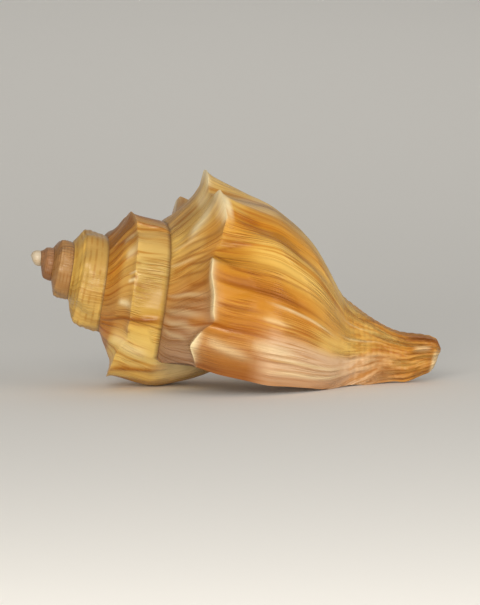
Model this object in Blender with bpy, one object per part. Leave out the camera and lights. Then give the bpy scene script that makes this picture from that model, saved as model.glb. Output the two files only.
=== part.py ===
"""A spindle-shaped whelk shell with a knobbed shoulder and a long open canal.

Metres, +Z up. The shell lies on its mouth, apex toward -X, with the origin under
the middle of its box. Its form is worked out in millimetres in growth coordinates:
a runs along the coiling axis from the growth's pole near the apex, and each point
of the outside is given by a growth angle and by a place t on one grown profile.
"""

import bpy
import numpy as np

# Growth, in millimetres and degrees. Azimuth 0 is the side seen in the photograph, 90 is below it.
TURN_GROWTH = 1.77  # every turn is this much larger than the one before
TURNS = 5.6
STEPS = 60  # columns of the mesh for each turn
LIP = 24.0  # azimuth of the outer lip's shoulder
SIDE = -90.0  # growth angle at which PROFILE is given
LEAD_STEPS = 4  # columns by which the lip leads at the suture
LEAD = 360.0 * LEAD_STEPS / STEPS

# The grown profile: a from the pole, radius, share of the growth, lead in degrees, lift of the canal
PROFILE = np.array(
    [
        (30.8, 18.6, 1.00, LEAD, 0.0),
        (33.9, 23.0, 1.00, 9.0, 0.0),
        (36.3, 27.4, 1.00, 0.0, 0.0),
        (41.5, 29.2, 1.00, 0.0, 0.0),
        (47.0, 30.6, 1.00, -1.0, 0.0),
        (52.3, 31.1, 1.00, -1.5, 0.0),
        (59.3, 28.2, 0.86, -1.5, 0.0),
        (64.9, 24.7, 0.76, -0.5, 0.0),
        (70.3, 20.1, 0.66, 3.0, 0.0),
        (75.6, 14.8, 0.56, 8.0, 0.4),
        (79.3, 12.2, 0.49, 11.5, 0.6),
        (83.0, 10.7, 0.42, 15.5, 0.9),
        (87.1, 8.9, 0.35, 18.0, 1.3),
        (92.2, 7.1, 0.25, 20.0, 1.8),
        (96.2, 6.2, 0.18, 22.0, 2.5),
        (101.2, 5.2, 0.08, 24.0, 4.4),
        (104.2, 4.2, 0.03, 24.0, 5.4),
        (106.0, 1.6, 0.00, 24.0, 6.2),
    ]
)
SHOULDER = 2  # places on the profile
SEAM = 5  # where the next turn joins on
SPIRE_ROWS = (0.0, 0.8, 1.55, 2.0, 2.7, 3.8, 5.0)
BODY_ROWS = (5.5, 6.0, 6.5, 7.0, 7.5, 8.0, 8.6, 9.2, 10.0, 11.0, 12.0, 13.0, 14.0, 15.0, 16.0, 17.0)

# Where the growth departs from strict similarity
FORM_SET = (-180.0, -60.0)  # growth angles between which the canal's form reaches that of PROFILE
FORM_ROWS = (9.0, 17.0)  # places over which the young canal stops growing
SLIM_ANGLE = -261.0  # the last turn is a little slimmer where it begins
SLIM_SPREAD = 75.0
SLIM_RAMP = 0.05  # by this share above the seam
SLIM_BODY = 0.09  # and by this one below it
TUCK = 0.05  # the last half turn is drawn in at the seam
TUCK_ANGLES = (-276.0, -126.0)
TUCK_ROWS = 1.8
SPIRE_SWELL = 0.10  # the first turns are wider
SPIRE_SIZES = (0.12, 0.3)

# Shoulder knobs: growth angles of those that the photograph shows, then an even spacing up the spire
KNOBS = (12.0, -18.0, -54.0, -90.0, -126.0, -162.0, -198.0, -234.0, -270.0)
KNOB_SPACING = 42.0
KNOB_COUNT = 32
KNOB_HEIGHT = 6.2
KNOB_REACH = 19.0  # degrees from a knob's tip to its foot
KNOB_POINT = 1.4  # over 1 is pointed
KNOB_RISE = 4.0  # how steeply it rises from the ramp
KNOB_FOOT = 3.2  # rows that it runs down the body
KNOB_FADE = 1.8
KNOB_LEAN = 0.15  # how much the knobs lean toward the apex
KNOB_BIRTH = (0.06, 0.2)  # sizes of the shell at which the knobs come up
KNOB_YOUNG = 0.65  # how high young knobs are against the last ones
KNOB_AGES = (0.5, 0.8)

NUCLEUS_CENTRE = 2.2  # the smooth bulb at the apex
NUCLEUS_RADIUS = 1.8
NUCLEUS_TURN = 75.0  # degrees that each turn drops over the bulb
NUCLEUS_DROP = 130.0
NUCLEUS_TURNS = (0.35, 1.5)  # turns over which the bulb passes into the spire

WALL = 1.5
CHAMBER_TURN = 660.0  # how far back the chamber runs
CHAMBER_STEP = 14.0
CHAMBER_TOP = 0.45  # first place on the profile of the chamber's outer side
CHAMBER_FOOT = (6.5, 10.0)  # its last one, far inside and at the mouth
PILLAR_TOP = 5.25  # first place of its inner side, on the turn before
PILLAR_FOOT = (6.5, 14.0)  # and its last one
CHAMBER_GAP = 0.12  # how far the inner side stands off the turn before
CHAMBER_FLARE = 0.06
CHAMBER_OPENS = (-330.0, -200.0)  # growth from the lip over which the foot opens into the canal
CHAMBER_POINTS = (13, 9)
MOUTH_RUNOUT = 26.0  # how far the chamber's form runs on past the lip
CANAL_START = 7  # first row of PROFILE that belongs to the canal
CANAL_POINTS = 13
CANAL_SLOT = 2.1  # half the canal's open width
CANAL_DEPTH = 14.0  # how far the slot is cut from the middle of the canal
CANAL_SIDE = 0.0  # azimuth to which the canal's hollow lies off the axis
CANAL_LIFT = 0.8  # how much of the outside's lift the hollow follows

# The canal's hollow: a, radius, and how far it lies from the axis toward the lip
CANAL = np.array(
    [
        (66.0, 2.4, 9.0),
        (72.0, 3.4, 6.6),
        (78.0, 4.4, 4.6),
        (84.0, 5.2, 2.8),
        (89.0, 5.0, 1.6),
        (94.0, 4.3, 1.1),
        (99.0, 3.6, 0.8),
        (104.0, 3.0, 0.4),
        (110.0, 2.7, 0.0),
    ]
)

# How it lies at rest on its lip, its canal and its last turn
REST_AZIMUTH = 92.2  # the side that faces down
REST_SLOPE = 18.0  # of the coiling axis, down toward the canal

RATE = np.log(TURN_GROWTH) / 360.0
SHARP = np.radians(50.0)  # edges bent more than this are shaded sharp


def ease(x, low, high):
    """0 below low, 1 above high, smooth between."""
    x = np.clip((x - low) / (high - low), 0.0, 1.0)
    return x * x * (3.0 - 2.0 * x)


def profile_at(t):
    """The profile's five values at t, a smooth curve through its points with a corner at the shoulder."""
    t = np.clip(t, 0.0, len(PROFILE) - 1.0)
    i = np.minimum(t.astype(int), len(PROFILE) - 2)
    f = (t - i)[..., None]
    before, here, after, beyond = (PROFILE[np.clip(i + n, 0, len(PROFILE) - 1)] for n in (-1, 0, 1, 2))
    at_corner = (i == SHOULDER)[..., None]
    to_corner = (i + 1 == SHOULDER)[..., None]
    slope_here = np.where(at_corner, after - here, (after - before) / 2.0)
    slope_after = np.where(to_corner, after - here, (beyond - here) / 2.0)
    cubic = 2.0 * f**3 - 3.0 * f**2
    return (
        (cubic + 1.0) * here
        - cubic * after
        + (f**3 - 2.0 * f**2 + f) * slope_here
        + (f**3 - f**2) * slope_after
    )


def knob_angles():
    more = KNOBS[-1] - KNOB_SPACING * np.arange(1, KNOB_COUNT - len(KNOBS))
    return np.concatenate([KNOBS, more])


def knob_height(growth, t):
    """How far the knobs stand out, as a share of their full height."""
    away = np.abs(growth[..., None] - knob_angles()).min(axis=-1) / KNOB_REACH
    along = np.clip(1.0 - away, 0.0, 1.0) ** KNOB_POINT
    above = np.clip(t / SHOULDER, 0.0, 1.0) ** KNOB_RISE
    below = np.clip(1.0 - (t - SHOULDER) / KNOB_FOOT, 0.0, 1.0) ** KNOB_FADE
    return along * np.where(t < SHOULDER, above, below)


def girth(growth, t):
    """How wide the shell is against strictly similar growth."""
    size = np.exp(RATE * (growth - SIDE))
    depth = SLIM_RAMP + (SLIM_BODY - SLIM_RAMP) * ease(t, SEAM - 0.5, SEAM + 1.5)
    slim = 1.0 - depth * np.exp(-(((growth - SLIM_ANGLE) / SLIM_SPREAD) ** 2))
    tuck = 1.0 - TUCK * ease(growth, *TUCK_ANGLES) * np.exp(-(((t - SEAM) / TUCK_ROWS) ** 2))
    swell = 1.0 + SPIRE_SWELL * (1.0 - ease(size, *SPIRE_SIZES))
    return slim * tuck * swell


def surface(growth, t, inset=0.0):
    """Points of the outside, moved in by inset: (along the axis, toward azimuth 0, toward azimuth 90)."""
    growth, t = np.broadcast_arrays(np.asarray(growth, float), np.asarray(t, float))
    along, radius, share, lead, lift = np.moveaxis(profile_at(t), -1, 0)
    step = 0.05
    slope = profile_at(t + step) - profile_at(t - step)
    length = np.hypot(slope[..., 0], slope[..., 1])
    along = along + inset * slope[..., 1] / length
    radius = radius - inset * slope[..., 0] / length
    full = np.exp(RATE * (growth - SIDE))
    early_share = 1.0 - ease(t, *FORM_ROWS)
    share = early_share + (share - early_share) * ease(growth, *FORM_SET)
    size = full**share
    age = ease(full, *KNOB_BIRTH) * (KNOB_YOUNG + (1.0 - KNOB_YOUNG) * ease(full, *KNOB_AGES))
    knobs = KNOB_HEIGHT * knob_height(growth, t) * age
    radius = (radius * girth(growth, t) + knobs) * size
    along = (along - KNOB_LEAN * knobs) * size
    azimuth = np.radians(growth + lead)
    points = np.stack([along, radius * np.cos(azimuth), radius * np.sin(azimuth) - lift], -1)
    return rounded_apex(points, growth, t, azimuth)


def rounded_apex(points, growth, t, azimuth):
    """The first turn drawn onto the small bulb of the nucleus."""
    turns = (growth - LIP) / 360.0 + TURNS
    dip = np.radians(np.clip(NUCLEUS_TURN * (turns + t / SEAM), 0.0, NUCLEUS_DROP))
    across = NUCLEUS_RADIUS * np.sin(dip)
    along = NUCLEUS_CENTRE - NUCLEUS_RADIUS * np.cos(dip)
    bulb = np.stack([along, across * np.cos(azimuth), across * np.sin(azimuth)], -1)
    near = 1.0 - ease(turns, *NUCLEUS_TURNS)
    return points + (bulb - points) * near[..., None]


def outside_mesh():
    """Vertices and faces of the whole shell as if solid, closed over the mouth."""
    columns = int(round(TURNS * STEPS))
    growth = LIP - (columns - np.arange(columns + 1)) * 360.0 / STEPS
    start = columns - STEPS + LEAD_STEPS  # first column of the last turn's full profile
    seam_row = len(SPIRE_ROWS) - 1
    rows = SPIRE_ROWS + BODY_ROWS
    last_row = len(rows) - 1
    grid = surface(growth[:, None], np.array(rows)[None, :])
    vertices = [(NUCLEUS_CENTRE - NUCLEUS_RADIUS, 0.0, 0.0)]
    index = {}
    for column in range(columns + 1):
        for row in range(1, last_row + 1 if column >= start else seam_row + 1):
            index[column, row] = len(vertices)
            vertices.append(tuple(grid[column, row]))

    def corner(column, row):
        if row:
            return index[column, row]
        joined = column - STEPS + LEAD_STEPS
        return 0 if joined < 0 else index[joined, seam_row]

    faces = []
    for column in range(columns):
        for row in range(last_row if column >= start else seam_row):
            ring = (
                corner(column, row),
                corner(column + 1, row),
                corner(column + 1, row + 1),
                corner(column, row + 1),
            )
            faces.append(tuple(dict.fromkeys(ring)))
    faces.append((0, *(corner(0, row) for row in range(1, seam_row + 1))))
    faces.append(tuple(corner(columns, row) for row in range(seam_row, -1, -1)))
    for row in range(seam_row, last_row):
        ring = (corner(columns, row + 1), corner(columns, row), corner(start, row), corner(start, row + 1))
        faces.append(tuple(dict.fromkeys(ring)))
    faces.append(tuple(corner(column, last_row) for column in range(start, columns + 1)))
    return vertices, faces


def chamber_loop(growth):
    """One closed cross-section of the hollow that the animal lived in."""
    opened = ease(growth - LIP, *CHAMBER_OPENS)
    outer_foot, inner_foot = (ends[0] + (ends[1] - ends[0]) * opened for ends in (CHAMBER_FOOT, PILLAR_FOOT))
    outer = surface(growth, np.linspace(CHAMBER_TOP, outer_foot, CHAMBER_POINTS[0]), WALL)
    inner_rows = np.linspace(inner_foot, PILLAR_TOP, CHAMBER_POINTS[1])
    inner = surface(growth - 360.0 + LEAD, inner_rows, -CHAMBER_GAP)
    inner[:, 1:] *= 1.0 + CHAMBER_FLARE * ease(growth - LIP, 0.0, MOUTH_RUNOUT)
    return np.concatenate([outer, inner])


def swept_mesh(loops):
    """A closed body through a row of loops that have equally many points."""
    count = len(loops[0])
    vertices = [tuple(point) for loop in loops for point in loop]
    faces = []
    for n in range(len(loops) - 1):
        for i in range(count):
            j = (i + 1) % count
            faces.append((n * count + i, n * count + j, (n + 1) * count + j, (n + 1) * count + i))
    faces.append(tuple(range(count - 1, -1, -1)))
    faces.append(tuple(range((len(loops) - 1) * count, len(loops) * count)))
    return vertices, faces


def chamber_mesh():
    growths = np.arange(LIP + MOUTH_RUNOUT, LIP - CHAMBER_TURN, -CHAMBER_STEP)
    return swept_mesh([chamber_loop(growth) for growth in growths])


def canal_loop(along, radius, offset):
    """A keyhole: the canal's round hollow with its slot, at one place on the axis."""
    rows = PROFILE[CANAL_START:]
    lift, lead = (np.interp(along, rows[:, 0], rows[:, value]) for value in (4, 3))
    slot = np.radians(LIP + lead + LEAD / 2.0)
    half = np.arcsin(CANAL_SLOT / radius)
    around = np.linspace(half, 2.0 * np.pi - half, CANAL_POINTS)
    ring = np.stack([np.cos(around), np.sin(around)], -1) * radius
    mouth = np.array([(CANAL_DEPTH, -CANAL_SLOT), (CANAL_DEPTH, CANAL_SLOT)])
    flat = np.concatenate([ring, mouth])
    flat = flat @ np.array([(np.cos(slot), np.sin(slot)), (-np.sin(slot), np.cos(slot))])
    toward_lip = np.radians(CANAL_SIDE)
    centre = offset * np.array([np.cos(toward_lip), np.sin(toward_lip)]) - (0.0, CANAL_LIFT * lift)
    return np.column_stack([np.full(len(flat), along), flat + centre])


def canal_mesh():
    return swept_mesh([canal_loop(*row) for row in CANAL])


def rest_axes():
    """The resting shell's X, Y and Z, each as (along the axis, toward azimuth 0, toward azimuth 90)."""
    slope = np.radians(REST_SLOPE)
    side = np.radians(REST_AZIMUTH)
    down = np.array([np.sin(slope), np.cos(slope) * np.cos(side), np.cos(slope) * np.sin(side)])
    level = np.array([1.0, 0.0, 0.0]) - down[0] * down
    level /= np.linalg.norm(level)
    return np.array([level, np.cross(-down, level), -down])


def at_rest(vertices, origin):
    """Vertices turned into the resting frame, in metres, from an origin in that frame."""
    return np.array(vertices) @ rest_axes().T / 1000.0 - origin


def add_mesh(name, vertices, faces):
    mesh = bpy.data.meshes.new(name)
    mesh.from_pydata(vertices.tolist(), [], faces)
    mesh.validate()
    mesh.shade_smooth()
    mesh.set_sharp_from_angle(angle=SHARP)
    mesh.update()
    thing = bpy.data.objects.new(name, mesh)
    bpy.context.scene.collection.objects.link(thing)
    return thing


def carve(shell, name, vertices, faces):
    """Cuts a closed form out of the shell."""
    cutter = add_mesh(name, vertices, faces)
    cutter.hide_render = True
    cutter.display_type = "WIRE"
    cut = shell.modifiers.new(name, "BOOLEAN")
    cut.operation = "DIFFERENCE"
    cut.solver = "EXACT"
    cut.object = cutter


def shell_material():
    material = bpy.data.materials.new("amber shell")
    material.use_nodes = True
    principled = material.node_tree.nodes["Principled BSDF"]
    principled.inputs["Base Color"].default_value = (0.56, 0.30, 0.07, 1.0)
    principled.inputs["Roughness"].default_value = 0.35
    principled.inputs["Metallic"].default_value = 0.0
    return material


def main():
    for thing in list(bpy.data.objects):
        bpy.data.objects.remove(thing, do_unlink=True)
    vertices, faces = outside_mesh()
    placed = at_rest(vertices, 0.0)
    low, high = placed.min(axis=0), placed.max(axis=0)
    origin = np.array([(low[0] + high[0]) / 2.0, (low[1] + high[1]) / 2.0, low[2]])
    shell = add_mesh("shell", placed - origin, faces)
    shell.data.materials.append(shell_material())
    for name, (vertices, faces) in (("chamber", chamber_mesh()), ("canal", canal_mesh())):
        carve(shell, name, at_rest(vertices, origin), faces)


main()
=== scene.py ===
"""Looks of an amber whelk shell: fine grown surface, glazed mouth, pigment laid along the growth lines.

Metres, +Z up. The form is worked out in millimetres in growth coordinates, as in the solid: a growth
angle, and a place t on one grown profile that runs from the suture over the shoulder to the canal's tip.
"""

import bpy
import numpy as np
from mathutils import Matrix, Vector


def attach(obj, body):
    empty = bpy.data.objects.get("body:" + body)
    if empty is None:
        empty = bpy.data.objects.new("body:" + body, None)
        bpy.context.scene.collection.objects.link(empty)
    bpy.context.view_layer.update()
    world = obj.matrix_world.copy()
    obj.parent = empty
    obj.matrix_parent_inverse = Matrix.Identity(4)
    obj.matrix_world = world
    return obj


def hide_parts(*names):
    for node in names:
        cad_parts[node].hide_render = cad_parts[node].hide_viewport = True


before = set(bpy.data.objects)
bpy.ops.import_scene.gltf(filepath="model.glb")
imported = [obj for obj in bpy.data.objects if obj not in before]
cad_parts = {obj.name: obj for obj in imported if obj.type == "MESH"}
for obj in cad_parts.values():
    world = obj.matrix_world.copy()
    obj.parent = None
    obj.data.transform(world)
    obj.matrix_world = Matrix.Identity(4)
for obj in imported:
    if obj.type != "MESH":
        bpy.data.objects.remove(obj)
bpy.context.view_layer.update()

# Growth, in millimetres and degrees, as in the solid but with finer steps
TURN_GROWTH = 1.77
TURNS = 5.6
LIP = 24.0
SIDE = -90.0
LEAD = 24.0
COLUMNS = ((140.0, 200), (196.0, 98))  # degrees back from the lip, and columns: fine, then coarse
RATE = np.log(TURN_GROWTH) / 360.0

# The grown profile: a from the pole, radius, share of the growth, lead in degrees, lift of the canal.
# It is the solid's, with its last point a little further in
PROFILE = np.array(
    [
        (30.8, 18.6, 1.00, LEAD, 0),
        (33.9, 23, 1.00, 9, 0),
        (36.3, 27.4, 1.00, 0, 0),
        (41.5, 29.2, 1.00, 0, 0),
        (47, 30.6, 1.00, -1, 0),
        (52.3, 31.1, 1.00, -1.5, 0),
        (59.3, 28.2, 0.86, -1.5, 0),
        (64.9, 24.7, 0.76, -0.5, 0),
        (70.3, 20.1, 0.66, 3, 0),
        (75.6, 14.8, 0.56, 8, 0.4),
        (79.3, 12.2, 0.49, 11.5, 0.6),
        (83, 10.7, 0.42, 15.5, 0.9),
        (87.1, 8.9, 0.35, 18, 1.3),
        (92.2, 7.1, 0.25, 20, 1.8),
        (96.2, 6.2, 0.18, 22, 2.5),
        (101.2, 5.2, 0.08, 24, 4.4),
        (104.2, 4.2, 0.03, 24, 5.4),
        (105.98, 1.6, 0.00, 24, 6.2),
    ]
)
SHOULDER = 2
SEAM = 5
TIP = len(PROFILE) - 1

# Where the growth departs from strict similarity
FORM_SET = (-180.0, -60.0)
FORM_ROWS = (9.0, 17.0)
SLIM_ANGLE = -261.0
SLIM_SPREAD = 75.0
SLIM_RAMP = 0.05
SLIM_BODY = 0.09
TUCK = 0.05
TUCK_ANGLES = (-276.0, -126.0)
TUCK_ROWS = 1.8
SPIRE_SWELL = 0.10
SPIRE_SIZES = (0.12, 0.3)

# Shoulder knobs
KNOBS = (12.0, -18.0, -54.0, -90.0, -126.0, -162.0, -198.0, -234.0, -270.0)
KNOB_SPACING = 42.0
KNOB_COUNT = 32
KNOB_RISE = 4.0
KNOB_FOOT = 3.2
KNOB_FADE = 1.8
KNOB_LEAN = 0.15
KNOB_BIRTH = (0.06, 0.2)
KNOB_YOUNG = 0.65
KNOB_AGES = (0.5, 0.8)

# Crests of the last turns, those in view where the photograph shows them: growth angle, height,
# drift from the apex
CREST = np.array(
    [
        (-470, 0.4, 0),
        (-450, 1.4, 0.2),
        (-439, 3.5, 0.7),
        (-430, 3.3, 1.6),
        (-421, 2.4, 2.4),
        (-411, 1, 2.8),
        (-397, 2.4, 3.1),
        (-384, 1.2, 3.1),
        (-371, 1.8, 3.3),
        (-358, 1, 3.5),
        (-345, 2.8, 4),
        (-337, 1.4, 4.3),
        (-330, 2.8, 4.4),
        (-320, 1.2, 4.7),
        (-313, 0.7, 3.2),
        (-302, 1.1, 1.8),
        (-290, 3, 1.3),
        (-275, 4.8, 0.9),
        (-254, 0.6, 0),
        (-234, 5.8, 0.6),
        (-214, 0.6, 0.6),
        (-198, 5.4, 0.4),
        (-180, 0.6, 0.4),
        (-163, 5, 0),
        (-148, 1, 0),
        (-140, 6.4, 0.8),
        (-130, 5.3, -0.3),
        (-122, 3.4, -0.6),
        (-112, 0.4, 0),
        (-105, 1, 0.4),
        (-99, 3, 1.2),
        (-93.5, 4.9, 0.5),
        (-86, 4.8, 0.4),
        (-72, 1, 0.6),
        (-66, 1.4, 1.2),
        (-56, 5.6, 1.8),
        (-44, 3.2, 3.6),
        (-34, 0.4, 2.6),
        (-26.5, -0.6, 1.2),
        (-23, 1.2, 1),
        (-20.5, 3.8, 1.1),
        (-14, 4.2, 1.3),
        (-6.5, 3.9, 2.6),
        (0, 3.2, 3),
        (4, 1.8, 3.6),
        (7, 0.5, 2.2),
        (9, 2.2, 1.2),
        (14.6, 4.2, -0.4),
        (19, 2.6, 0.6),
        (24, 1.6, 1.6),
    ]
)
CREST_FROM = (-600.0, -470.0)
CREST_SOFT = 1.0  # degrees over which a crest's corners are rounded
CREST_RISE = (4.0, 16.0)  # how steeply the ramp climbs to the foot of a crest, and to its top
CREST_FOOT = 0.22
KEEL_HEIGHT = 0.8  # the thin pale keel on top of a crest
KEEL_FULL = 4.0  # height of the crests that have all of it
KEEL_ROWS = (0.08, 0.2)  # how far it fades on the ramp, and on the wall

# The young turns are rounder: millimetres added at full size to the first six places of the profile,
# and broad knobs, with spiral cords over them
YOUNG_BULGE = (0.0, 2.4, 1.2, 1.7, 1.2, 0.0)
YOUNG_KNOB = 4.2
YOUNG_KNOB_ROWS = (2.3, 1.2)
YOUNG_SET = 0.3
YOUNG_CORD = 0.30
YOUNG_CORD_ROWS = 0.72

# Marks along the growth lines, one list for each colour, mostly pigment and some painted light or shade
# as noted: growth angle at the crest, slant in degrees for each row, first and last row, half width in
# degrees, height of the ridge, strength
STRAW = np.array(
    [
        (-80, 0, 1.9, 7, 9, 0, 0.75),
        (-59, 0.4, 2.8, 8, 4, 0.4, 0.5),
        (-54, 0, 2.5, 3.4, 4.5, 0, 0.7),
        (-44, 0.6, 5.8, 9.5, 4.5, 0, 0.6),
        (-3, 0, 4.6, 6.2, 3.5, 0, 0.5),
        (-30, 0, 10.8, 13.6, 12, 0, 0.6),
        (-25, 0, 1.1, 1.8, 9, 0, 0.5),
        (-32, 0.2, 3.9, 8.4, 8, 0.3, 0.6),
        (-24, 0.1, 5, 8, 3, 0, 0.3),
        (-70, 0, 6.5, 10, 14, 0, 0.6),
        (-52, 0, 0.05, 0.7, 10, 0, 0.5),
        (-24, 3, 0.05, 1.2, 2, 0.2, 0.45),
        (-372, 0, 1.25, 2.4, 34, 0, 0.3),
        # Painted light: this mark and those at -308, -314 and -276 lighten the penultimate turn's lower
        # wall and underside, which lie in shade
        (-296, 0, 1.2, 2.8, 12, 0, 0.8),
        # Painted light: lightens the lower half of the third turn's wall, which curves into shade
        (-672, 0, 4.4, 5.6, 30, 0, 0.5),
        (-308, 0, 1.15, 2.1, 13, 0, 0.95),
        (-314, -2, 1.9, 5.2, 14, 0, 0.95),
        (-276, -3, 1.9, 6.2, 9, 0, 0.9),
        (-55, 0, 7.5, 11.5, 14, 0, 0.6),
        (4, -1, 6.8, 11, 9, 0, 0.7),
        (20, 0, 12.5, 15.4, 10, 0, 0.25),
    ]
)
ORANGE = np.array(
    [
        # Orange in the dented hollow under the knob at -56, deepened with painted shade of the hollow
        (-50, 1.7, 3.1, 7.2, 5.5, -0.9, 0.65),
        (-43, 0.6, 5.5, 8, 4, -0.3, 0.2),
        (-30, 0, 2.1, 3.9, 10, -0.2, 0.6),
        (-14, 0, 2, 6.6, 5.2, -0.3, 0.95),
        (-4.5, 0, 4.2, 7.2, 3, 0, 0.35),
        (3, 0, 2, 4.6, 5, 0, 0.5),
        (-30, 0, 0.25, 1, 4, 0, 0.6),
        (-18, 0, 0.9, 2, 12, 0, 0.5),
        (-40, 0, 1.5, 2, 8, 0, 0.6),
        (3, 0, 1.2, 1.9, 3, 0, 0.6),
        (-385, 0, 0.2, 1.3, 26, 0, 0.6),
        (-447, 0, 0, 2, 14, 0, 0.55),
        (-326, 0, 0.2, 1.3, 5, 0, 0.8),
        (-287, -4.4, 1.9, 5.8, 3, 0.4, 1),
        (-55, 0, 10.5, 16.2, 20, 0, 0.3),
        (-12, 0, 11.5, 16, 9, 0, 0.35),
        (-9, 0, 3.4, 6.4, 7, 0, 0.6),
        (-22, 0.2, 2.4, 5.2, 5, 0, 0.6),
        (-336, -1.8, 1.9, 5.2, 4.5, 0, 0.6),
        (6, 0, 2, 4.4, 12, 0, 0.3),
        (-22, -5, 9.5, 13.5, 4, 0, 0.45),
    ]
)
BROWN = np.array(
    [
        (-437, 0, 1.9, 5.4, 10, 0, 0.8),
        (-420.5, 1.5, 1.9, 5.2, 1.2, 0.8, 0.9),
        (-404, 10, 0.5, 2, 3, 0.3, 0.7),
        (-387, 0, 1.9, 2.2, 1, 0, 0.6),
        (-379, 0, 2, 2.5, 1.4, 0, 0.5),
        (-374, -0.5, 2.3, 4.6, 0.5, 0, 0.5),
        (-368, 0, 1.9, 2.3, 1.4, 0, 0.8),
        (-362.5, 0.5, 2, 3.4, 0.8, 0, 0.5),
        (-358, 0.3, 2, 3.8, 0.5, 0, 0.5),
        (-337, -1.8, 0.6, 5.2, 1.8, 0.8, 0.95),
        (-333.5, -1.2, 1.9, 4.6, 0.6, 0, 0.5),
        (-327, 0, 1.9, 2.3, 1, 0, 0.7),
        (-326, 1, 0.3, 1.5, 1.2, 0.2, 0.6),
        (-286, -4.4, 2, 5.6, 0.8, 0, 0.6),
        (-308, -14, 0.5, 1.25, 4, 0, 0.6),
        (-270, 0, 2, 5, 2, 0.6, 0.8),
        (-236, 0, 2, 6, 3, 0.5, 0.7),
        (-205, 0, 2, 7, 4, 0.4, 0.6),
        (-160, 0, 2, 8, 3, 0.5, 0.8),
        (-131, 0, 2, 7, 4, 0.4, 0.4),
        (-98, 0.5, 2, 7, 3, 0.3, 0.3),
        (-73, 0, 2.7, 5.6, 6, -0.4, 0.2),
        (-15, 0.3, 3, 5.8, 3, 0, 0.45),
        (-32, 0, 1.9, 3.4, 5, 0, 0.35),
        (-43, 0.9, 4, 7, 1.2, 0, 0.6),
        (-27, 6, 2, 2.9, 0.8, -0.2, 0.9),
        (-29, -4, 2, 3.4, 0.7, 0, 0.7),
        (-33, -2, 2.1, 3.4, 0.5, 0, 0.5),
        (-20.4, 0.6, 2.8, 4.4, 0.7, -0.15, 0.9),
        (-18.6, -0.7, 4.2, 8, 0.6, -0.15, 0.6),
        (-13.4, 0.1, 2.4, 6.6, 1.1, -0.2, 0.95),
        (-15.8, 0.1, 2.2, 4.6, 0.5, 0, 0.6),
        (-11.6, -0.1, 3.8, 7.8, 0.5, 0, 0.6),
        (-3.6, -0.2, 2.2, 4.4, 0.9, -0.2, 0.9),
        (0.3, -0.2, 2.3, 4.4, 0.5, 0, 0.6),
        (2.6, -0.2, 2.3, 6.8, 0.5, 0, 0.7),
        (5.2, 0, 2.2, 5, 0.8, -0.25, 0.7),
        (8.4, 0, 2.4, 7.8, 0.5, 0, 0.5),
        (11.6, 0, 4.4, 8.2, 0.45, 0, 0.6),
        (14.2, 0, 4, 8.4, 0.5, 0, 0.6),
        (17.2, 0, 4.8, 8.4, 0.45, 0, 0.6),
        (20.3, 0, 4.6, 8, 0.5, 0, 0.5),
        (18.5, 0, 2.2, 4.8, 2.6, 0.2, 0.5),
        (-36.5, 0.4, 4.5, 8.5, 0.45, 0, 0.3),
        (-29, 0.2, 4, 8.5, 0.45, 0, 0.3),
        (-25, 0.1, 3.6, 8.5, 0.5, 0, 0.35),
        (-47, 2, 0.2, 1.4, 0.9, -0.1, 0.5),
        (-40, 4, 0.6, 2, 0.9, 0, 0.5),
        (-35, 3, 0.1, 1.6, 0.8, -0.1, 0.6),
        (-31, 4, 0.3, 2, 0.9, -0.2, 0.7),
        (-27.5, 4, 0.9, 2, 0.8, -0.1, 0.5),
        (-24.5, 5, 0.9, 2, 1, -0.2, 0.8),
        (-19, 4, 0.5, 2, 0.9, -0.1, 0.7),
        (-13, 3, 1.1, 2, 1.4, -0.2, 0.8),
        (-10, 3, 0.2, 1.5, 0.8, 0, 0.6),
        (-5, 4, 0.1, 2, 1, -0.2, 0.7),
        (-0.5, 4, 0.2, 2, 0.8, -0.1, 0.7),
        (5, 4, 0.1, 2, 0.8, -0.1, 0.6),
        (12, 4, 0.1, 1.4, 0.8, -0.1, 0.5),
        (-58, 2, 0.3, 1.2, 0.9, -0.1, 0.4),
        (-86, 4, 0.2, 1.5, 1.2, -0.1, 0.5),
        (-100, 4, 0.2, 1.5, 1.2, -0.1, 0.4),
        (-433, 3, 0.2, 1.8, 1.4, -0.1, 0.5),
        (-390, 2, 0.3, 1.3, 1.2, -0.1, 0.5),
        (-377, 1, 0.4, 1.2, 0.9, 0, 0.5),
        (-362, 1, 0.3, 1.4, 1, -0.1, 0.5),
        (-351, 1, 0.3, 1.2, 0.9, 0, 0.5),
        (-78, 0, 0.3, 1.3, 6, 0, 0.35),
        (-118, 2, 0.2, 1.8, 6, 0.3, 0.5),
        (-66, 2, 0.2, 1, 1, 0, 0.5),
        (-49, 0, 14, 17.2, 15, 0, 1),
        # Painted shade: darkens the lip's lower edge, where it turns under
        (23.5, 0, 4.2, 10, 5, 0, 0.5),
        (36, 0, 11.5, 16.5, 12, 0, 0.35),
        (-41, -6, 9.5, 12.5, 1, 0, 0.5),
        (-20, -6, 8.8, 12, 1, 0, 0.5),
        (-9, -4, 10.2, 12.4, 0.9, 0, 0.5),
        (0, 0, 15.2, 15.7, 60, 0, 0.3),
    ]
)
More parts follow.
